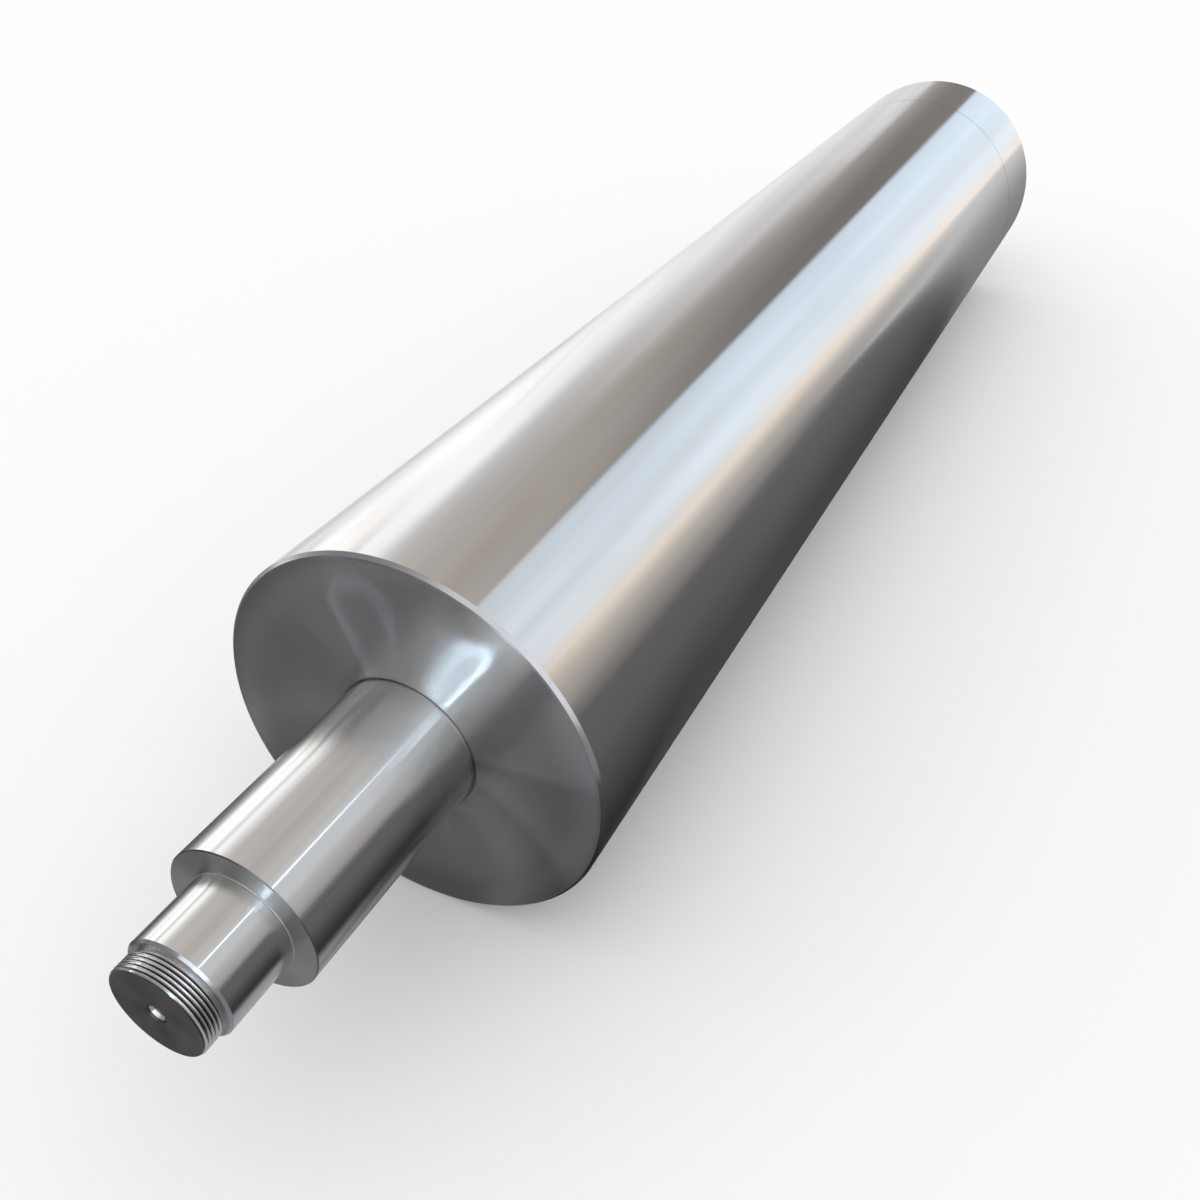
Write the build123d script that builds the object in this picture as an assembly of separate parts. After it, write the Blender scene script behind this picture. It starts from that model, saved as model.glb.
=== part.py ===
from build123d import *
from math import radians, tan
import os

os.makedirs("parts", exist_ok=True)

# A hard-chromed machine roller, turned and ground from one steel bar.
# The roller's axis is Y. The origin is the middle of the barrel, on the axis.
# The end with the plain long stretch of barrel behind it points to -Y.
# All sizes are in millimetres.

# Barrel
barrel_diameter = 225.0
barrel_length = 1100.0
barrel_edge_chamfer = 1.8

# Fine groove turned round the barrel near its +Y end
line_groove_from_end = 107.0
line_groove_width = 0.8
line_groove_depth = 0.4

# Large journal next to the barrel
journal_diameter = 80.0
journal_length = 124.0
journal_edge_chamfer = 0.5

# Grinding relief cut into the barrel's end face around the journal
root_relief_width = 0.8
root_relief_depth = 0.6

# Bearing seat
seat_diameter = 55.0
seat_length = 39.0
seat_edge_chamfer = 1.2
seat_undercut_width = 0.6
seat_undercut_depth = 0.3

# Locknut thread, drawn at its outside diameter
thread_diameter = 50.0
thread_length = 8.5
thread_end_chamfer = 0.8

# Relief groove between the bearing seat and the thread
thread_relief_diameter = 47.0
thread_relief_width = 1.5
thread_relief_fillet = 0.6

# Centre hole: a pilot drilling under a 60 degree cone
centre_pilot_diameter = 5.0
centre_pilot_length = 7.0
centre_mouth_diameter = 10.6
centre_cone_half_angle = 30.0
drill_point_half_angle = 59.0

# Radii
barrel_radius = barrel_diameter / 2
journal_radius = journal_diameter / 2
seat_radius = seat_diameter / 2
thread_radius = thread_diameter / 2
thread_relief_radius = thread_relief_diameter / 2
pilot_radius = centre_pilot_diameter / 2
mouth_radius = centre_mouth_diameter / 2

# Stations along the axis, measured from the middle of the barrel
barrel_face = barrel_length / 2
shoulder = barrel_face + journal_length
seat_end = shoulder + seat_length
thread_relief_flank = thread_radius - thread_relief_radius
thread_start = seat_end + thread_relief_width + thread_relief_flank
shaft_end = thread_start + thread_length + thread_end_chamfer


def height_of_cone(radial_step, half_angle):
    """Axial length over which a cone of this half angle changes its radius."""
    return radial_step / tan(radians(half_angle))


def barrel_edge():
    """The barrel's chamfered edge and its end face, down to the root relief."""
    relief_edge = journal_radius + root_relief_width
    return [
        (barrel_radius, barrel_face - barrel_edge_chamfer),
        (barrel_radius - barrel_edge_chamfer, barrel_face),
        (relief_edge + root_relief_depth, barrel_face),
        (relief_edge, barrel_face - root_relief_depth),
        (journal_radius, barrel_face - root_relief_depth),
    ]


def journal():
    """The large journal and its square shoulder."""
    return [
        (journal_radius, shoulder - journal_edge_chamfer),
        (journal_radius - journal_edge_chamfer, shoulder),
    ]


def bearing_seat():
    """The ground seat, with a shallow undercut where it meets the shoulder."""
    undercut_radius = seat_radius - seat_undercut_depth
    undercut_end = shoulder + seat_undercut_width
    return [
        (undercut_radius, shoulder),
        (undercut_radius, undercut_end),
        (seat_radius, undercut_end + seat_undercut_depth),
        (seat_radius, seat_end - seat_edge_chamfer),
        (seat_radius - seat_edge_chamfer, seat_end),
    ]


def threaded_end():
    """The relief groove, the thread at its outside diameter and the flat end."""
    return [
        (thread_relief_radius, seat_end),
        (thread_relief_radius, seat_end + thread_relief_width),
        (thread_radius, thread_start),
        (thread_radius, thread_start + thread_length),
        (thread_radius - thread_end_chamfer, shaft_end),
    ]


def centre_hole():
    """The centre hole, from its mouth in the end of the shaft to its drilled point."""
    cone_bottom = shaft_end - height_of_cone(mouth_radius - pilot_radius, centre_cone_half_angle)
    pilot_bottom = cone_bottom - centre_pilot_length
    drill_point = pilot_bottom - height_of_cone(pilot_radius, drill_point_half_angle)
    return [
        (mouth_radius, shaft_end),
        (pilot_radius, cone_bottom),
        (pilot_radius, pilot_bottom),
        (0, drill_point),
    ]


def end_outline():
    """Half outline of one end, from the barrel's edge to the centre of the shaft."""
    return barrel_edge() + journal() + bearing_seat() + threaded_end() + centre_hole()


def line_groove():
    """The V groove near the +Y end of the barrel."""
    middle = barrel_face - line_groove_from_end
    return [
        (barrel_radius, middle - line_groove_width / 2),
        (barrel_radius - line_groove_depth, middle),
        (barrel_radius, middle + line_groove_width / 2),
    ]


def relief_corners(solid):
    """Circles at the bottom corner of both thread reliefs, beside the seats."""
    circles = solid.edges().filter_by(GeomType.CIRCLE)
    return [
        edge for edge in circles
        if abs(edge.radius - thread_relief_radius) < 1e-6
        and abs(abs(edge.arc_center.Y) - seat_end) < 1e-6
    ]


def roller():
    """The whole roller: one outline, turned about the axis."""
    far_end = end_outline()
    near_end = [(radius, -station) for radius, station in reversed(far_end)]
    outline = Polyline(*(near_end + line_groove() + far_end), close=True)
    solid = revolve(make_face(outline), Axis.Y)
    return fillet(relief_corners(solid), thread_relief_fillet)


export_step(roller(), "parts/roller.step")
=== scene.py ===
from math import cos, pi, radians, sin, tan

import bpy
from mathutils import Matrix, Vector


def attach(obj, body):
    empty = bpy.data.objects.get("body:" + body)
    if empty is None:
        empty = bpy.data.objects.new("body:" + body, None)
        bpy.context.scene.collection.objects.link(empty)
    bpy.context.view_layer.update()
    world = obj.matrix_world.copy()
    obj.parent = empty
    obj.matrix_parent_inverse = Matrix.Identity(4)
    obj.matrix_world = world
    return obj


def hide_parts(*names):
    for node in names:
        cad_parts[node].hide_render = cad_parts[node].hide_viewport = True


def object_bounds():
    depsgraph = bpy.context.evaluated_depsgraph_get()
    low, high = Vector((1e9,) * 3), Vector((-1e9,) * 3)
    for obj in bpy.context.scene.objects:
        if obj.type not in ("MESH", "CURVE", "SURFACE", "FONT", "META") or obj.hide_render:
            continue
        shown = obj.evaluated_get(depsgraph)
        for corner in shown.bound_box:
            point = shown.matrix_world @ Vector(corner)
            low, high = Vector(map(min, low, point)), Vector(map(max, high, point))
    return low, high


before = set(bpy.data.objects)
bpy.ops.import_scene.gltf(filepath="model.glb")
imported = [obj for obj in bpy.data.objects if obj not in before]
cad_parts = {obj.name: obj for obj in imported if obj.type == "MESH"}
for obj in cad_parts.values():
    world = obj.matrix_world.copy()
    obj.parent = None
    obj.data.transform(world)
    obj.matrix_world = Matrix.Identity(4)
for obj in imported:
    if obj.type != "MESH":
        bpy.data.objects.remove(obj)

cad_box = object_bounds()

# A hard-chromed machine roller on a pale studio floor. The roller's axis is Y.
# The origin is the middle of the barrel, on the axis. Sizes are in metres.

MM = 0.001

# Sizes taken from the frame
barrel_radius = cad_box[1].x
half_length = cad_box[1].y

# Barrel
barrel_face = 550.0 * MM
barrel_edge_chamfer = 1.8 * MM
face_ring_radius = 109.2 * MM
coarse_feed_radius = 46.0 * MM
even_feed_radius = 100.0 * MM
fine_band_start = 84.0 * MM
fine_band_end = 112.0 * MM
line_groove_from_end = 107.0 * MM
line_groove_width = 0.8 * MM
line_groove_depth = 0.4 * MM

# Journal and the grinding relief at its root
journal_radius = 40.0 * MM
journal_length = 124.0 * MM
journal_edge_chamfer = 0.5 * MM
root_relief_width = 0.8 * MM
root_relief_depth = 0.6 * MM

# Bearing seat
seat_radius = 27.5 * MM
seat_length = 39.0 * MM
seat_edge_chamfer = 1.2 * MM
seat_undercut_width = 0.6 * MM
seat_undercut_depth = 0.3 * MM
seat_ring_radius = 27.7 * MM

# Threaded end. A 60 degree thread is 0.6134 of its pitch deep, under a crest an eighth of it wide.
thread_radius = 25.0 * MM
thread_pitch = 2.0 * MM
thread_depth = 0.6134 * thread_pitch
thread_flank_angle = radians(30.0)
thread_crest_share = 0.125
thread_crest_rounding = 0.1 * MM
thread_root_rounding = 0.2 * MM
thread_runout = 0.1 * MM
thread_end_chamfer = 0.8 * MM
thread_relief_radius = 23.5 * MM
thread_relief_width = 1.5 * MM

# Centre hole
pilot_radius = 2.5 * MM
pilot_length = 7.0 * MM
mouth_radius = 5.3 * MM
worn_radius = 4.7 * MM
# Inside this radius the centre hole is painted dark, as painted shade.
painted_shade_radius = 3.9 * MM
centre_cone_half_angle = radians(30.0)
drill_point_half_angle = radians(59.0)

# Stations measured from the barrel's face towards the shaft's end
shoulder = journal_length
seat_end = shoulder + seat_length
thread_relief_flank = thread_radius - thread_relief_radius
thread_start = seat_end + thread_relief_width
shaft_end = half_length - barrel_face

# Fineness of the turned mesh
turns = 288
thread_rows = 12
sharp_corner = radians(12.0)


# The outline

def stepped(start, end, count):
    """Evenly spaced points from start to end, both included."""
    a, b = Vector(start), Vector(end)
    return [tuple(a.lerp(b, i / count)) for i in range(count + 1)]


def end_outline():
    """One end as (radius, distance from the barrel's face, finish) rows, from the rim inwards."""
    root = journal_radius + root_relief_depth + root_relief_width
    under = seat_radius - seat_undercut_depth
    flank_end = thread_start + thread_relief_flank
    crest_end = shaft_end - thread_end_chamfer
    tip_radius = thread_radius - thread_end_chamfer
    # Rows with the relief finish are painted dark grey, which is painted shade.
    rows = [
        (barrel_radius, -barrel_edge_chamfer, "edge"),
        (barrel_radius - barrel_edge_chamfer, 0.0, "rim"),
        (face_ring_radius, 0.0, "face"),
        (root, 0.0, "edge"),
        (root - root_relief_depth, -root_relief_depth, "relief"),
        (journal_radius, -root_relief_depth, "ground"),
        (journal_radius, shoulder - journal_edge_chamfer, "relief"),
        (journal_radius - journal_edge_chamfer, shoulder, "face"),
        (seat_ring_radius, shoulder, "bright"),
        (under, shoulder, "ground"),
        (under, shoulder + seat_undercut_width, "relief"),
        (seat_radius, shoulder + seat_undercut_width + seat_undercut_depth, "ground"),
        (seat_radius, seat_end - seat_edge_chamfer, "edge"),
        (seat_radius - seat_edge_chamfer, seat_end, "face"),
        (thread_relief_radius, seat_end, "thread"),
    ]
    crest_rows = thread_rows * round((crest_end - flank_end) / thread_pitch)
    for start, end, count in (
        ((thread_relief_radius, thread_start), (thread_radius, flank_end), thread_rows),
        ((thread_radius, flank_end), (thread_radius, crest_end), crest_rows),
        ((thread_radius, crest_end), (tip_radius, shaft_end), thread_rows // 2),
    ):
        rows += [(radius, place, "thread") for radius, place in stepped(start, end, count)[:-1]]
    cone_slope = tan(centre_cone_half_angle)
    cone_depth = (mouth_radius - pilot_radius) / cone_slope
    pilot_floor = shaft_end - cone_depth - pilot_length
    drill_tip = pilot_floor - pilot_radius / tan(drill_point_half_angle)
    rows += [
        (tip_radius, shaft_end, "tip"),
        (mouth_radius, shaft_end, "tip"),
        (worn_radius, shaft_end - (mouth_radius - worn_radius) / cone_slope, "bore"),
        # From here inwards the centre hole has the dark relief finish, which is painted shade.
        (painted_shade_radius, shaft_end - (mouth_radius - painted_shade_radius) / cone_slope, "relief"),
        (pilot_radius, shaft_end - cone_depth, "relief"),
        (pilot_radius, pilot_floor, "relief"),
        (0.0, drill_tip, "relief"),
    ]
    return rows


def roller_outline():
    """The whole outline as (radius, y, finish) rows, from the -Y centre hole to the +Y one."""
    end = end_outline()
    # A row's finish covers the stretch after it, so the mirrored end takes it one row later.
    shifted = ["barrel"] + [finish for _, _, finish in end[:-1]]
    near = [
        (radius, -barrel_face - place, finish)
        for (radius, place, _), finish in zip(reversed(end), reversed(shifted))
    ]
    groove = barrel_face - line_groove_from_end
    line = [
        (barrel_radius, groove - line_groove_width / 2, "groove"),
        (barrel_radius - line_groove_depth, groove, "groove"),
        (barrel_radius, groove + line_groove_width / 2, "barrel"),
    ]
    far = [(radius, barrel_face + place, finish) for radius, place, finish in end]
    return near + line + far


# The turned mesh

def turned_mesh(name, outline, finishes):
    """A closed mesh of revolution round Y, with a UV map that follows the outline and the turn."""
    ring = [radians(360.0) * i / turns for i in range(turns)]
    verts, first = [], []
    for radius, y, _ in outline:
        first.append(len(verts))
        if radius == 0.0:
            verts.append((0.0, y, 0.0))
        else:
            verts += [(-radius * sin(angle), y, -radius * cos(angle)) for angle in ring]
    faces, uvs, slots = [], [], []
    travel = 0.0
    for row in range(len(outline) - 1):
        (r0, y0, finish), (r1, y1, _) = outline[row], outline[row + 1]
        step = (Vector((r1, y1)) - Vector((r0, y0))).length
        for i in range(turns):
            j = (i + 1) % turns
            u0, u1 = travel, travel + step
            v0, v1 = i / turns, (i + 1) / turns
            a, b = first[row], first[row + 1]
            if r0 == 0.0:
                face, uv = (a, b + j, b + i), ((u0, v0), (u1, v1), (u1, v0))
            elif r1 == 0.0:
                face, uv = (a + i, a + j, b), ((u0, v0), (u0, v1), (u1, v0))
            else:
                face = (a + i, a + j, b + j, b + i)
                uv = ((u0, v0), (u0, v1), (u1, v1), (u1, v0))
            faces.append(face)
            uvs += uv
            slots.append(finishes.index(finish))
        travel += step
    mesh = bpy.data.meshes.new(name)
    mesh.from_pydata(verts, [], faces)
    mesh.polygons.foreach_set("material_index", slots)
    mesh.polygons.foreach_set("use_smooth", [True] * len(faces))
    layer = mesh.uv_layers.new(name="turned")
    layer.data.foreach_set("uv", [value for uv in uvs for value in uv])
    mark_sharp_rings(mesh, outline, first)
    return mesh


def mark_sharp_rings(mesh, outline, first):
    """Marks the rings where the outline turns a corner, so that each face shades by itself."""
    sharp = set()
    for row in range(1, len(outline) - 1):
        before = Vector(outline[row][:2]) - Vector(outline[row - 1][:2])
        after = Vector(outline[row + 1][:2]) - Vector(outline[row][:2])
        if before.angle(after) > sharp_corner:
            sharp.update(range(first[row], first[row] + turns))
    flags = []
    for edge in mesh.edges:
        a, b = edge.vertices
        same_ring = abs(a - b) in (1, turns - 1)
        flags.append(same_ring and a in sharp and b in sharp)
    mesh.attributes.new("sharp_edge", "BOOLEAN", "EDGE").data.foreach_set("value", flags)


# Geometry Nodes

def link(tree, source, target):
    """Joins an output socket to an input socket."""
    tree.links.new(source, target)


def math_node(tree, operation, a, b=None, c=None):
    """A Math node whose inputs are sockets or plain numbers. Its output is returned."""
    node = tree.nodes.new("ShaderNodeMath")
    node.operation = operation
    for socket, value in zip(node.inputs, (a, b, c)):
        if value is None:
            continue
        if isinstance(value, (int, float)):
            socket.default_value = value
        else:
            link(tree, value, socket)
    return node.outputs[0]


def thread_cutter():
    """A node tree that cuts a right-hand 60 degree thread into a bar that lies along Y."""
    tree = bpy.data.node_groups.new("thread_cutter", "GeometryNodeTree")
    sockets = tree.interface
    sockets.new_socket("Bar", in_out="INPUT", socket_type="NodeSocketGeometry")
    for name in ("Start", "End", "Outside Radius", "Pitch", "Depth", "Facing"):
        sockets.new_socket(name, in_out="INPUT", socket_type="NodeSocketFloat")
    sockets.new_socket("Finish", in_out="INPUT", socket_type="NodeSocketMaterial")
    sockets.new_socket("Bar", in_out="OUTPUT", socket_type="NodeSocketGeometry")
    nodes = tree.nodes
    given = nodes.new("NodeGroupInput").outputs
    place = nodes.new("ShaderNodeSeparateXYZ")
    link(tree, nodes.new("GeometryNodeInputPosition").outputs[0], place.inputs[0])
    x, y, z = place.outputs

    across = math_node(tree, "MULTIPLY", y, given["Facing"])
    turn = math_node(tree, "DIVIDE", math_node(tree, "ARCTAN2", x, z), 2.0 * pi)
    turn = math_node(tree, "MULTIPLY", turn, given["Facing"])
    advance = math_node(tree, "SUBTRACT", across, given["Start"])
    advance = math_node(tree, "DIVIDE", advance, given["Pitch"])
    phase = math_node(tree, "SUBTRACT", advance, turn)
    # The depth follows a sharp V, whose top is left off as the crest.
    wave = math_node(tree, "MULTIPLY", math_node(tree, "PINGPONG", phase, 0.5), 2.0)
    full_height = math_node(tree, "MULTIPLY", given["Pitch"], cos(thread_flank_angle))
    crest = math_node(tree, "MULTIPLY", full_height, thread_crest_share)
    cut = math_node(tree, "SUBTRACT", math_node(tree, "MULTIPLY", wave, full_height), crest)
    cut = math_node(tree, "SMOOTH_MAX", cut, 0.0, thread_crest_rounding)
    cut = math_node(tree, "SMOOTH_MIN", cut, given["Depth"], thread_root_rounding)
    allowed = math_node(tree, "SUBTRACT", given["Outside Radius"], cut)

    plane = nodes.new("ShaderNodeCombineXYZ")
    link(tree, x, plane.inputs[0])
    link(tree, z, plane.inputs[2])
    length = nodes.new("ShaderNodeVectorMath")
    length.operation = "LENGTH"
    link(tree, plane.outputs[0], length.inputs[0])
    radius = length.outputs["Value"]
    shrink = math_node(tree, "DIVIDE", math_node(tree, "MINIMUM", radius, allowed), radius)
    moved = nodes.new("ShaderNodeCombineXYZ")
    link(tree, math_node(tree, "MULTIPLY", x, shrink), moved.inputs[0])
    link(tree, y, moved.inputs[1])
    link(tree, math_node(tree, "MULTIPLY", z, shrink), moved.inputs[2])

    after = math_node(tree, "GREATER_THAN", across, given["Start"])
    before = math_node(tree, "LESS_THAN", across, given["End"])
    root_radius = math_node(tree, "SUBTRACT", given["Outside Radius"], given["Depth"])
    outside = math_node(tree, "GREATER_THAN", radius, root_radius)
    chosen = math_node(tree, "MULTIPLY", math_node(tree, "MULTIPLY", after, before), outside)
    # The share of the full depth is kept on the points, for the shade painted into the thread's
    # bottoms.
    mark = nodes.new("GeometryNodeStoreNamedAttribute")
    mark.data_type = "FLOAT"
    mark.domain = "POINT"
    mark.inputs["Name"].default_value = "thread_depth"
    link(tree, given["Bar"], mark.inputs["Geometry"])
    link(tree, chosen, mark.inputs["Selection"])
    link(tree, math_node(tree, "DIVIDE", cut, given["Depth"]), mark.inputs["Value"])
    shift = nodes.new("GeometryNodeSetPosition")
    link(tree, mark.outputs[0], shift.inputs["Geometry"])
    link(tree, chosen, shift.inputs["Selection"])
    link(tree, moved.outputs[0], shift.inputs["Position"])
    real = nodes.new("GeometryNodeRealizeInstances")
    link(tree, shift.outputs[0], real.inputs[0])
    finish = nodes.new("GeometryNodeSetMaterial")
    link(tree, real.outputs[0], finish.inputs["Geometry"])
    link(tree, chosen, finish.inputs["Selection"])
    link(tree, given["Finish"], finish.inputs["Material"])
    link(tree, finish.outputs[0], nodes.new("NodeGroupOutput").inputs[0])
    return tree


def set_inputs(modifier, values):
    """Sets a Geometry Nodes modifier's inputs by the names that its tree gives them."""
    for item in modifier.node_group.interface.items_tree:
        if item.in_out == "INPUT" and item.name in values:
            modifier[item.identifier] = values[item.name]


def cut_threads(bar, finish):
    """Cuts the locknut thread on both ends, and leaves a plain mesh."""
    tree = thread_cutter()
    for facing in (-1.0, 1.0):
        modifier = bar.modifiers.new("thread", "NODES")
        modifier.node_group = tree
        set_inputs(modifier, {
            "Start": barrel_face + thread_start,
            "End": half_length + thread_runout,
            "Outside Radius": thread_radius,
            "Pitch": thread_pitch,
            "Depth": thread_depth,
            "Facing": facing,
            "Finish": finish,
        })
    bpy.context.view_layer.update()
    evaluated = bar.evaluated_get(bpy.context.evaluated_depsgraph_get())
    finished = bpy.data.meshes.new_from_object(evaluated)
    bar.modifiers.clear()
    bar.data = finished


# Shader groups

# The part of a noise's range that a finish is spread over, and how rough every noise is
noise_middle = (0.3, 0.7)
noise_roughness = 0.55
# How quickly the feed grooves' pitch wanders outwards, and what a turning mark adds to roughness
pitch_wander_scale = 400.0
marks_roughness = (-0.01, 0.01)


def object_place(tree):
    """The x, y and z of the Object coordinates."""
    place = tree.nodes.new("ShaderNodeSeparateXYZ")
    link(tree, tree.nodes.new("ShaderNodeTexCoord").outputs["Object"], place.inputs[0])
    return place.outputs


def shader_group(name, inputs, output):
    """A new shader group with number inputs and one number output, and its input sockets."""
    tree = bpy.data.node_groups.new(name, "ShaderNodeTree")
    for label, value in inputs:
        socket = tree.interface.new_socket(label, in_out="INPUT", socket_type="NodeSocketFloat")
        socket.default_value = value
    tree.interface.new_socket(output, in_out="OUTPUT", socket_type="NodeSocketFloat")
    return tree, tree.nodes.new("NodeGroupInput").outputs


def noise_node(tree, parts, detail, distortion=0.0):
    """A noise over a vector of three parts, and its factor output."""
    vector = tree.nodes.new("ShaderNodeCombineXYZ")
    for part, socket in zip(parts, vector.inputs):
        link(tree, part, socket)
    noise = tree.nodes.new("ShaderNodeTexNoise")
    noise.inputs["Scale"].default_value = 1.0
    noise.inputs["Detail"].default_value = detail
    noise.inputs["Roughness"].default_value = noise_roughness
    noise.inputs["Distortion"].default_value = distortion
    link(tree, vector.outputs[0], noise.inputs["Vector"])
    return noise.outputs[0]


def map_range(tree, value, source, target=(0.0, 1.0), smooth=False):
    """Maps one range of a value to another."""
    node = tree.nodes.new("ShaderNodeMapRange")
    if smooth:
        node.interpolation_type = "SMOOTHSTEP"
    names = ("From Min", "From Max", "To Min", "To Max")
    for name, limit in zip(names, (*source, *target)):
        node.inputs[name].default_value = limit
    link(tree, value, node.inputs["Value"])
    return node.outputs[0]


def outward(tree):
    """The distance from the roller's axis."""
    x, _, z = object_place(tree)
    squares = [math_node(tree, "MULTIPLY", part, part) for part in (x, z)]
    return math_node(tree, "SQRT", math_node(tree, "ADD", *squares))


def turning_marks_group():
    """Fine marks that run round the axis, on cylinders and end faces alike."""
    tree, given = shader_group("turning_marks", (("Across", 2000.0), ("Around", 8.0)), "Marks")
    x, y, z = object_place(tree)
    travel = math_node(tree, "ADD", outward(tree), y)
    parts = (
        math_node(tree, "MULTIPLY", x, given["Around"]),
        math_node(tree, "MULTIPLY", travel, given["Across"]),
        math_node(tree, "MULTIPLY", z, given["Around"]),
    )
    link(tree, noise_node(tree, parts, 1.0), tree.nodes.new("NodeGroupOutput").inputs[0])
    return tree


def cutting_depth_group():
    """The coarseness of a turned face, which falls slowly outwards and is finer in a last band."""
    inputs = (("At Journal", 1.0), ("Outward", 0.9), ("At Rim", 0.5))
    tree, given = shader_group("cutting_depth", inputs, "Depth")
    radius = outward(tree)
    share = map_range(tree, radius, (coarse_feed_radius, even_feed_radius))
    fall = math_node(tree, "SUBTRACT", given["Outward"], given["At Journal"])
    inner = math_node(tree, "MULTIPLY_ADD", share, fall, given["At Journal"])
    band = map_range(tree, radius, (fine_band_start, fine_band_end), smooth=True)
    fall = math_node(tree, "SUBTRACT", given["At Rim"], inner)
    depth = math_node(tree, "MULTIPLY_ADD", band, fall, inner)
    link(tree, depth, tree.nodes.new("NodeGroupOutput").inputs[0])
    return tree


def face_grooves_group():
    """Even concentric feed grooves of a turned face, whose pitch wanders a little."""
    tree, given = shader_group("face_grooves", (("Across", 12000.0), ("Wander", 3.0)), "Grooves")
    radius = outward(tree)
    slow = [math_node(tree, "MULTIPLY", radius, pitch_wander_scale)] * 3
    turned = math_node(tree, "MULTIPLY", radius, given["Across"])
    turned = math_node(tree, "MULTIPLY_ADD", noise_node(tree, slow, 2.0), given["Wander"], turned)
    link(tree, math_node(tree, "SINE", turned), tree.nodes.new("NodeGroupOutput").inputs[0])
    return tree


def drawn_out_group(name, output, detail, distortion):
    """Slow soft variation, with its own scale round the roller and along it."""
    tree, given = shader_group(name, (("Across", 12.0), ("Along", 4.0)), output)
    x, y, z = object_place(tree)
    parts = (
        math_node(tree, "MULTIPLY", x, given["Across"]),
        math_node(tree, "MULTIPLY", y, given["Along"]),
        math_node(tree, "MULTIPLY", z, given["Across"]),
    )
    noise = noise_node(tree, parts, detail, distortion)
    link(tree, noise, tree.nodes.new("NodeGroupOutput").inputs[0])
    return tree


# Materials

def place_group(tree, group, values):
    """Puts a shader group in a material with its own values, and returns its output."""
    node = tree.nodes.new("ShaderNodeGroup")
    node.node_tree = group
    for name, value in values.items():
        node.inputs[name].default_value = value
    return node.outputs[0]


def colour_mix(tree, share, first, second, blend="MIX"):
    """Mixes two colours by a share. Each of the three is a socket or a plain value."""
    node = tree.nodes.new("ShaderNodeMix")
    node.data_type = "RGBA"
    node.blend_type = blend
    if isinstance(share, float):
        node.inputs["Factor"].default_value = share
    else:
        link(tree, share, node.inputs["Factor"])
    for name, colour in (("A", first), ("B", second)):
        if isinstance(colour, tuple):
            node.inputs[name].default_value = (*colour, 1.0)
        else:
            link(tree, colour, node.inputs[name])
    return node.outputs["Result"]


def bump_node(tree, height, distance, normal=None):
    """A Bump node over an earlier normal, and its output."""
    node = tree.nodes.new("ShaderNodeBump")
    node.inputs["Distance"].default_value = distance
    node.inputs["Strength"].default_value = 1.0
    link(tree, height, node.inputs["Height"])
    if normal is not None:
        link(tree, normal, node.inputs["Normal"])
    return node.outputs[0]


def metal(groups, name, colours, roughness, directional, marks, cloud, wave=None, grooves=None):
    """A plated or turned steel finish, worked round the axis."""
    material = bpy.data.materials.new(name)
    material.use_nodes = True
    tree = material.node_tree
    shader = tree.nodes["Principled BSDF"]
    shader.inputs["Metallic"].default_value = 1.0
    shader.inputs["Anisotropic"].default_value = directional
    direction = tree.nodes.new("ShaderNodeTangent")
    direction.direction_type = "UV_MAP"
    direction.uv_map = "turned"
    link(tree, direction.outputs[0], shader.inputs["Tangent"])

    across, around, marks_height = marks
    fine = place_group(tree, groups["marks"], {"Across": across, "Around": around})
    slow = place_group(tree, groups["cloud"], {"Across": cloud[0], "Along": cloud[1]})
    tint = colour_mix(tree, map_range(tree, slow, noise_middle), *colours)
    link(tree, tint, shader.inputs["Base Color"])
    uneven = map_range(tree, slow, noise_middle, roughness)
    level = math_node(tree, "ADD", uneven, map_range(tree, fine, noise_middle, marks_roughness))
    link(tree, level, shader.inputs["Roughness"])
    waved = None
    if wave is not None:
        broad = place_group(tree, groups["wave"], {"Across": wave[0], "Along": wave[1]})
        waved = bump_node(tree, broad, wave[2])
    if grooves is not None:
        across, height, depths = grooves
        names = ("At Journal", "Outward", "At Rim")
        depth = place_group(tree, groups["depth"], dict(zip(names, depths)))
        turned = place_group(tree, groups["grooves"], {"Across": across})
        waved = bump_node(tree, math_node(tree, "MULTIPLY", turned, depth), height, waved)
    link(tree, bump_node(tree, fine, marks_height, waved), shader.inputs["Normal"])
    return material


# Painted shade in the thread: the shares of its depth where it starts and where it is full, and
# its colour
painted_shade_depths = (0.55, 0.95)
painted_shade_colour = (0.03, 0.03, 0.034)


def paint_shade_into_thread_bottoms(material, colour):
    """Paints shade into the thread: its colour falls off towards its bottom."""
    tree = material.node_tree
    shader = tree.nodes["Principled BSDF"]
    depth = tree.nodes.new("ShaderNodeAttribute")
    depth.attribute_name = "thread_depth"
    share = map_range(tree, depth.outputs["Fac"], painted_shade_depths, smooth=True)
    # The thread's colour before its painted shade
    unshaded_colour = shader.inputs["Base Color"].links[0].from_socket
    link(tree, colour_mix(tree, share, unshaded_colour, colour), shader.inputs["Base Color"])


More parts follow.
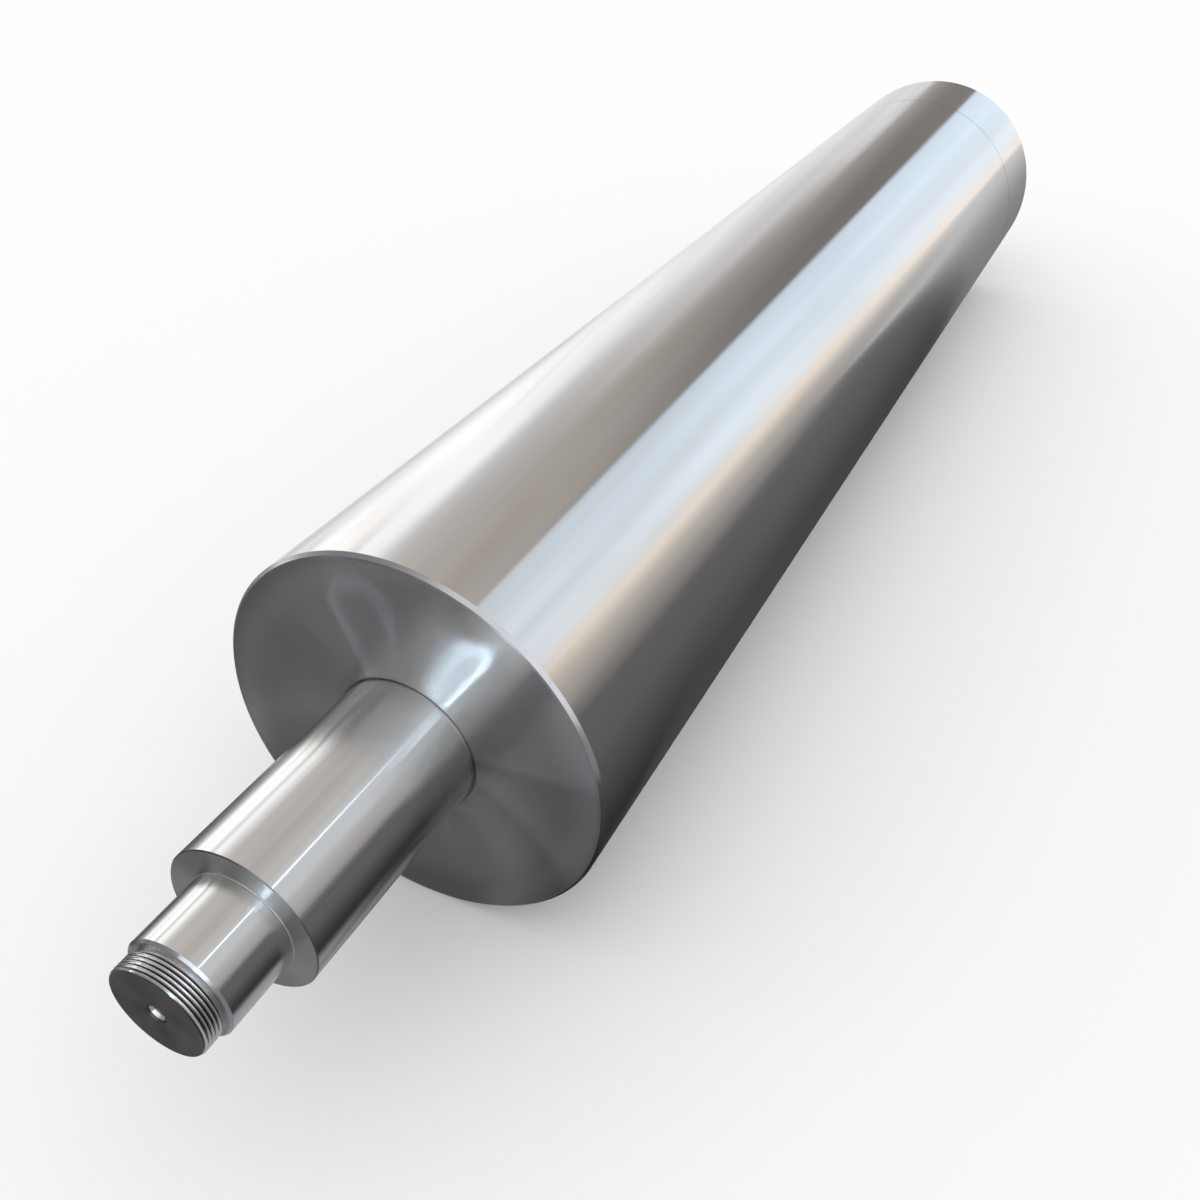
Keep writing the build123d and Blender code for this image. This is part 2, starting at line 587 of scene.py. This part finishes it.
def finishes():
    """Every finish on the roller, by the name that the outline uses."""
    groups = {
        "marks": turning_marks_group(),
        "depth": cutting_depth_group(),
        "grooves": face_grooves_group(),
        "cloud": drawn_out_group("handling", "Cloud", 4.0, 0.5),
        "wave": drawn_out_group("ground_waves", "Wave", 1.0, 0.0),
    }
    # Each colour varies slowly between two tones.
    chrome = ((0.79, 0.78, 0.765), (0.755, 0.748, 0.735))
    steel = ((0.47, 0.465, 0.46), (0.41, 0.412, 0.42))
    edge = ((0.58, 0.57, 0.585), (0.53, 0.52, 0.54))
    dull = ((0.165, 0.145, 0.128), (0.11, 0.097, 0.088))
    # Painted shade: a dark grey for the relief grooves, the undercut's ramp, the journal's end
    # chamfer, the line groove and the depth of the centre hole
    painted_shade_grey = ((0.20, 0.197, 0.193), (0.12, 0.118, 0.116))
    # Turning marks: how close they lie across, how short they are around, and their height
    polished = (2500.0, 6.0, 0.6e-6)
    ground = (2500.0, 6.0, 4.0e-6)
    cut = (2500.0, 6.0, 2.0e-6)
    coarse = (4000.0, 2.0, 20.0e-6)
    # The slow variation's scale across and along the roller
    long_clouds, short_clouds = (14.0, 3.0), (40.0, 10.0)
    face_clouds, tip_clouds, small_clouds = (16.0, 16.0), (60.0, 60.0), (50.0, 50.0)
    # Waves left by grinding, and grooves left by the turning tool
    barrel_wave, journal_wave = (9.0, 1.5, 0.25 * MM), (40.0, 15.0, 0.02 * MM)
    feed_grooves = (25000.0, 20.0e-6, (1.20, 1.02, 0.48))
    # Each finish: its material, colours, roughness range, how far its reflections are drawn out,
    # turning marks, slow variation, and then its waves and grooves if it has them
    table = {
        "barrel": (
            "polished_chrome", chrome, (0.105, 0.14), 1.0, polished, long_clouds, barrel_wave,
        ),
        "ground": ("ground_chrome", chrome, (0.14, 0.17), 1.0, ground, short_clouds, journal_wave),
        "face": ("turned_face", steel, (0.14, 0.15), 1.0, cut, face_clouds, None, feed_grooves),
        "rim": ("turned_rim", steel, (0.28, 0.32), 1.0, coarse, face_clouds),
        "tip": ("turned_tip", dull, (0.36, 0.42), 0.7, coarse, tip_clouds),
        "edge": ("edge_chrome", edge, (0.20, 0.24), 0.6, cut, small_clouds),
        # The relief and the line groove are painted dark grey, as painted shade.
        "relief": ("cut_relief_painted_shade", painted_shade_grey, (0.28, 0.36), 0.3, cut, small_clouds),
        "groove": ("line_groove", painted_shade_grey, (0.35, 0.45), 0.0, polished, small_clouds),
        "thread": ("cut_thread", chrome, (0.16, 0.24), 0.3, polished, small_clouds),
        "bore": ("drilled_bore", chrome, (0.08, 0.12), 0.0, polished, small_clouds),
        "bright": ("bright_line", chrome, (0.50, 0.55), 0.0, polished, small_clouds),
    }
    made = {finish: metal(groups, *values) for finish, values in table.items()}
    # Shade is painted into the thread's bottoms.
    paint_shade_into_thread_bottoms(made["thread"], painted_shade_colour)
    return made


def make_roller():
    """The roller as one closed turned piece in place of the CAD solid."""
    materials = finishes()
    mesh = turned_mesh("roller_turned", roller_outline(), list(materials))
    for material in materials.values():
        mesh.materials.append(material)
    bar = bpy.data.objects.new("roller_turned", mesh)
    bpy.context.scene.collection.objects.link(bar)
    cut_threads(bar, materials["thread"])
    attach(bar, "root")
    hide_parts("roller")


# Studio

floor_colour = (0.99, 0.99, 0.99)
floor_half_size = 40.0
tent_radius = 2.0
tent_half_length = 12.0
tent_segments = 96
tent_reach = radians(120.0)
mat_height = 1.0 * MM


def flat_sheet(name, half_width, half_length, level):
    """A level sheet, centred under the roller."""
    w, l = half_width, half_length
    corners = [(-w, -l, level), (w, -l, level), (w, l, level), (-w, l, level)]
    mesh = bpy.data.meshes.new(name)
    mesh.from_pydata(corners, [], [(0, 1, 2, 3)])
    return mesh


def plain_floor():
    """A large pale floor that the barrel lies on."""
    mesh = flat_sheet("studio_floor", floor_half_size, floor_half_size, -barrel_radius)
    floor = bpy.data.objects.new("studio_floor", mesh)
    material = bpy.data.materials.new("pale_floor")
    material.use_nodes = True
    shader = material.node_tree.nodes["Principled BSDF"]
    shader.inputs["Base Color"].default_value = (*floor_colour, 1.0)
    shader.inputs["Roughness"].default_value = 1.0
    shader.inputs["Specular IOR Level"].default_value = 0.0
    mesh.materials.append(material)
    bpy.context.scene.collection.objects.link(floor)


def grey(level, warmth=0.0):
    """A light level, a little warm or, below zero, a little cool."""
    return (level * (1.0 + warmth), level, level * (1.0 - warmth))


def ramp(tree, factor, stops, limits):
    """A colour ramp whose stops are given in the units of the factor's two limits."""
    low, high = limits
    node = tree.nodes.new("ShaderNodeValToRGB")
    elements = node.color_ramp.elements
    for _ in stops[2:]:
        elements.new(0.5)
    for element, (place, colour) in zip(elements, stops):
        element.position = (place - low) / (high - low)
        element.color = (*colour, 1.0)
    link(tree, factor, node.inputs[0])
    return node.outputs[0]


# The darkest and the lightest shade of the soft clouds on a card
cloud_shades = ((0.86, 0.83, 0.80), (1.10, 1.12, 1.15))


def glowing(name, across, limits, along, layers, uneven=None):
    """A card's material: colour ramps across it, each fading into the next along it.

    across and along are functions that make a value in the material's tree. A layer is its
    stops with the two places along the card where it begins to show and shows fully.
    A card can be uneven, with soft clouds of that scale in it.
    """
    material = bpy.data.materials.new(name)
    material.use_nodes = True
    material.cycles.emission_sampling = "NONE"
    tree = material.node_tree
    tree.nodes.clear()
    place = object_place(tree)
    factor = map_range(tree, across(tree, place), limits)
    stretch = along(tree, place)
    light = ramp(tree, factor, layers[0][0], limits)
    for stops, start, end in layers[1:]:
        share = map_range(tree, stretch, (start, end), smooth=True)
        light = colour_mix(tree, share, light, ramp(tree, factor, stops, limits))
    if uneven is not None:
        spread = [math_node(tree, "MULTIPLY", part, uneven) for part in place]
        share = map_range(tree, noise_node(tree, spread, 2.0, 0.5), noise_middle)
        shade = colour_mix(tree, share, cloud_shades[0], cloud_shades[1])
        light = colour_mix(tree, 1.0, light, shade, "MULTIPLY")
    glow = tree.nodes.new("ShaderNodeEmission")
    link(tree, light, glow.inputs["Color"])
    link(tree, glow.outputs[0], tree.nodes.new("ShaderNodeOutputMaterial").inputs["Surface"])
    return material


def place_across(tree, place):
    """The place across the roller."""
    return place["X"]


def place_along(tree, place):
    """The place along the roller."""
    return place["Y"]


def only_for_metal(obj):
    """A card that the metal reflects, and that neither the camera nor the light meets."""
    obj.visible_camera = False
    obj.visible_diffuse = False
    obj.visible_shadow = False
    obj.visible_transmission = False
    bpy.context.scene.collection.objects.link(obj)


# Panels of the light tent as (angle, light) stops, the angle being measured round the roller
# from straight up towards +X: in front of the roller, beside its journal, and beside the near,
# the middle and the far part of its barrel.
front_panels = (
    (-93.0, grey(0.25)), (-30.0, grey(0.4)), (0.0, grey(1.0)), (20.0, grey(1.1, -0.03)),
    (60.0, grey(1.3, -0.05)), (93.0, grey(1.1)),
)
journal_panels = (
    (-93.0, grey(0.45)), (-90.5, grey(0.5)), (-87.0, grey(1.3)), (-77.4, grey(1.5)),
    (-76.4, grey(0.6)), (-75.0, grey(0.6)), (-74.0, grey(1.6)), (-62.5, grey(1.6)),
    (-60.5, grey(0.6)), (-57.5, grey(0.6)), (-55.5, grey(1.3)), (-46.0, grey(1.1)),
    (-38.0, grey(0.75, 0.02)), (-35.0, grey(0.64, 0.04)), (-17.0, grey(0.58, 0.05)),
    (1.0, grey(0.52, 0.05)), (19.0, grey(0.62, 0.03)), (34.0, grey(0.70, -0.04)),
    (54.0, grey(0.64, -0.02)), (63.0, grey(0.55)), (72.0, grey(0.47, 0.01)),
    (82.0, grey(0.40, 0.01)), (85.5, grey(0.18)), (87.4, grey(0.18)), (88.0, grey(4.0)),
    (88.6, grey(0.14)), (93.0, grey(0.10, 0.02)),
)
near_panels = (
    (-93.0, grey(1.0)), (-80.0, grey(1.26)), (-62.0, grey(1.2)), (-50.0, grey(1.15)),
    (-42.0, grey(0.66)), (-26.0, grey(0.50, 0.04)), (-8.0, grey(0.48, 0.07)),
    (8.0, grey(0.42, 0.07)), (12.8, grey(0.40, 0.06)), (14.2, grey(0.80, -0.10)),
    (28.0, grey(0.93, -0.11)), (46.0, grey(0.98, -0.09)), (57.0, grey(0.95, -0.04)),
    (62.0, grey(0.93, 0.12)), (68.0, grey(0.62, 0.10)), (81.0, grey(0.34, 0.04)),
    (93.0, grey(0.17, 0.02)),
)
middle_panels = (
    (-68.0, grey(1.05)), (-55.0, grey(0.97)), (-47.0, grey(0.9)), (-42.0, grey(0.78)),
    (-28.0, grey(0.70)), (-22.0, grey(0.46, 0.03)), (-14.0, grey(0.31, 0.07)),
    (1.0, grey(0.20, 0.08)), (12.8, grey(0.19, 0.06)), (14.2, grey(0.86, -0.14)),
    (28.0, grey(1.0, -0.14)), (42.0, grey(1.0, -0.12)), (55.0, grey(1.08, -0.06)),
    (61.0, grey(1.0, 0.10)), (69.0, grey(0.55, 0.05)), (78.0, grey(0.33)),
)
far_panels = (
    (-45.0, grey(0.95)), (-35.0, grey(0.9)), (-26.0, grey(1.0)), (-19.5, grey(0.95)),
    (-17.0, grey(0.42)), (-6.0, grey(0.27, 0.05)), (6.0, grey(0.21, 0.06)),
    (12.8, grey(0.21, 0.04)), (14.2, grey(1.0, -0.16)), (28.0, grey(1.13, -0.16)),
    (40.0, grey(1.05, -0.14)), (50.0, grey(1.12, -0.1)), (60.0, grey(1.1, -0.02)),
    (63.0, grey(1.15, 0.1)), (66.0, grey(0.75, -0.02)),
)
# Each layer with the two places along the tent where it begins to show and shows fully
tent_layers = (
    (front_panels, 0.0, 0.0), (journal_panels, -1.1, -0.75), (near_panels, 0.85, 1.12),
    (middle_panels, 1.4, 3.4), (far_panels, 4.2, 6.5),
)
panel_cloud_scale = 2.2
full_turn = (-180.0, 180.0)
# The panels' edges run apart with the distance along the tent.
spread_middle = 30.0
spread_rate = 0.12
spread_from = 1.2


def tent_angle(tree, place):
    """The angle round Y in degrees, with the panels' spread along the tent taken out."""
    x, y, z = place
    angle = math_node(tree, "DIVIDE", math_node(tree, "ARCTAN2", x, z), radians(1.0))
    beyond = math_node(tree, "MAXIMUM", math_node(tree, "SUBTRACT", y, spread_from), 0.0)
    spread = math_node(tree, "MULTIPLY_ADD", beyond, spread_rate, 1.0)
    aside = math_node(tree, "SUBTRACT", angle, spread_middle)
    return math_node(tree, "ADD", math_node(tree, "DIVIDE", aside, spread), spread_middle)


def light_tent():
    """A round tent over the roller, from floor to floor."""
    verts, faces = [], []
    for i in range(tent_segments + 1):
        angle = tent_reach * (2.0 * i / tent_segments - 1.0)
        x, z = tent_radius * sin(angle), tent_radius * cos(angle)
        verts += [(x, -tent_half_length, z), (x, tent_half_length, z)]
    for i in range(tent_segments):
        a = 2 * i
        faces.append((a, a + 1, a + 3, a + 2))
    mesh = bpy.data.meshes.new("light_tent")
    mesh.from_pydata(verts, [], faces)
    mesh.materials.append(
        glowing("tent_panels", tent_angle, full_turn, place_along, tent_layers, panel_cloud_scale)
    )
    only_for_metal(bpy.data.objects.new("light_tent", mesh))


# The mat on the floor as (x, light) stops: in front of the roller's end faces, ahead of the
# roller, at its near end, and beside the near and the far part of its barrel
left_ahead = (
    (-1.7, grey(0.5)), (-1.0, grey(0.42)), (-0.4, grey(0.14)), (-0.25, grey(0.10)),
    (-0.215, grey(0.14)), (-0.19, grey(0.32)), (-0.165, grey(0.52)), (-0.14, grey(0.5)),
    (-0.125, grey(0.27)), (-0.06, grey(0.27)), (0.0, grey(0.42, -0.04)),
)
faces_mat = (
    *left_ahead, (0.06, grey(0.38, -0.05)), (0.13, grey(0.30, -0.03)), (0.24, grey(0.30, -0.02)),
    (0.39, grey(0.34, -0.02)), (1.1, grey(0.34)),
)
ahead_mat = (
    *left_ahead, (0.03, grey(0.40, -0.05)), (0.06, grey(0.38, -0.06)), (0.085, grey(0.30)),
    (0.10, grey(0.05)), (0.13, grey(0.03)), (0.17, grey(0.055, 0.05)), (0.24, grey(0.09, 0.02)),
    (0.39, grey(0.13, 0.02)), (1.1, grey(0.14)),
)
front_mat = (
    (-1.7, grey(0.5)), (-1.0, grey(0.42)), (-0.65, grey(0.36)), (-0.4, grey(0.24)),
    (-0.25, grey(0.13)), (-0.1, grey(0.15)), (-0.03, grey(0.42, -0.02)), (0.0, grey(0.48, -0.04)),
    (0.02, grey(0.34, -0.05)), (0.055, grey(0.18, -0.04)), (0.072, grey(0.05)), (0.13, grey(0.03)),
    (0.17, grey(0.055, 0.05)), (0.24, grey(0.09, 0.02)), (0.39, grey(0.13, 0.02)),
    (1.1, grey(0.14)),
)
near_mat = (
    (-1.0, grey(1.0)), (-0.6, grey(0.7)), (-0.45, grey(0.7)), (-0.3, grey(1.15)),
    (-0.22, grey(1.1)), (-0.16, grey(0.4)), (-0.06, grey(0.15)), (0.05, grey(0.13)),
    (0.068, grey(0.07)), (0.13, grey(0.07)), (0.17, grey(0.07, 0.05)), (0.24, grey(0.105, 0.03)),
    (0.39, grey(0.14, 0.02)), (1.1, grey(0.15)), (2.0, grey(0.17)),
)
far_mat = (
    (-1.0, grey(1.0)), (-0.6, grey(0.9)), (-0.45, grey(0.9)), (-0.3, grey(1.15)),
    (-0.2, grey(1.15)), (-0.15, grey(0.9)), (-0.05, grey(0.4)), (0.05, grey(0.26)),
    (0.12, grey(0.26)), (0.17, grey(0.27)), (0.24, grey(0.31, -0.02)), (0.39, grey(0.43, -0.03)),
    (1.1, grey(0.76, -0.03)),
)
mat_layers = (
    (faces_mat, 0.0, 0.0), (ahead_mat, -7.0, -5.0), (front_mat, -0.75, -0.71),
    (near_mat, -0.66, -0.60), (far_mat, 0.08, 0.32),
)
mat_slant_right = -1.8
mat_slant_left = 0.7
mat_faces_from = -0.64
mat_faces_step = -100.0


def mat_stretch(tree, place):
    """The place along the mat, whose dividing lines run away from the roller at a slant.

    In front of the end faces a steep step takes over, so that one line runs straight across.
    """
    right = math_node(tree, "MAXIMUM", place["X"], 0.0)
    left = math_node(tree, "MINIMUM", place["X"], 0.0)
    slanted = math_node(tree, "MULTIPLY_ADD", right, mat_slant_right, place["Y"])
    slanted = math_node(tree, "MULTIPLY_ADD", left, mat_slant_left, slanted)
    beyond = math_node(tree, "SUBTRACT", mat_faces_from, place["Y"])
    beyond = math_node(tree, "MAXIMUM", beyond, 0.0)
    return math_node(tree, "MULTIPLY_ADD", beyond, mat_faces_step, slanted)


def floor_mat():
    """A mat on the floor that only the metal sees, in place of the shaded floor round it."""
    mesh = flat_sheet("floor_mat", tent_radius, tent_half_length, -barrel_radius + mat_height)
    width = (-tent_radius, tent_radius)
    mesh.materials.append(glowing("floor_mat", place_across, width, mat_stretch, mat_layers))
    only_for_metal(bpy.data.objects.new("floor_mat", mesh))


def studio_light():
    """An even white surround at full level."""
    world = bpy.data.worlds.new("studio_white")
    world.use_nodes = True
    surround = world.node_tree.nodes["Background"]
    surround.inputs["Color"].default_value = (1.0, 1.0, 1.0, 1.0)
    surround.inputs["Strength"].default_value = 1.0
    bpy.context.scene.world = world


# Cool lamps that only the metal shows: name, two ends, the point faced, width, power. A strip high
# on the right lines the journal and the seat. In front, a thin strip draws the bright line on the
# end faces, and two panels its glow. A small lamp on the left draws the fainter line beside it.
lamp_colour = (0.66, 0.84, 1.0)
near_face = (0.0, -barrel_face, 0.0)
lamps = (
    ("top_lamp", (0.67, -0.9, 0.99), (0.67, 0.0, 0.99), (0.0, -0.45, 0.0), 0.02, 0.25),
    ("front_lamp", (-0.056, -3.0, -0.083), (0.056, -3.0, 0.083), near_face, 0.02, 6.0),
    ("front_panel", (0.534, -3.0, 0.337), (0.646, -3.0, 0.503), near_face, 0.5, 1.5),
    ("side_panel", (0.184, -3.0, 0.577), (0.296, -3.0, 0.743), near_face, 1.8, 3.6),
    ("left_lamp", (-1.62, -2.19, -0.08), (-1.62, -2.19, -0.06), near_face, 0.02, 0.8),
)


def metal_lamp(name, start, end, aim, width, power):
    """A lamp between two points, turned to face the aim."""
    start, end = Vector(start), Vector(end)
    place = (start + end) / 2
    up = (end - start).normalized()
    side = (Vector(aim) - place).cross(up).normalized()
    data = bpy.data.lights.new(name, "AREA")
    data.shape = "RECTANGLE"
    data.size = width
    data.size_y = (end - start).length
    data.energy = power
    data.color = lamp_colour
    lamp = bpy.data.objects.new(name, data)
    turned = Matrix((side, up, side.cross(up))).transposed().to_4x4()
    lamp.matrix_world = Matrix.Translation(place) @ turned
    lamp.visible_camera = False
    lamp.visible_diffuse = False
    bpy.context.scene.collection.objects.link(lamp)


# Camera
camera_place = Vector((0.28089, -0.88883, 0.40266))
camera_heading = radians(26.7154)
camera_pitch = radians(36.0169)
camera_lens = 34.3158
camera_sensor = 36.0
camera_clip = (0.01, 200.0)


def photo_camera():
    """The camera at the photograph's viewing angle."""
    data = bpy.data.cameras.new("photo_view")
    data.lens = camera_lens
    data.sensor_width = camera_sensor
    data.sensor_fit = "HORIZONTAL"
    data.clip_start, data.clip_end = camera_clip
    camera = bpy.data.objects.new("photo_view", data)
    camera.rotation_euler = (pi / 2 - camera_pitch, 0.0, camera_heading)
    camera.location = camera_place
    bpy.context.scene.collection.objects.link(camera)
    bpy.context.scene.camera = camera


make_roller()
plain_floor()
light_tent()
floor_mat()
studio_light()
for lamp in lamps:
    metal_lamp(*lamp)
photo_camera()
bpy.context.scene.view_settings.view_transform = "Standard"
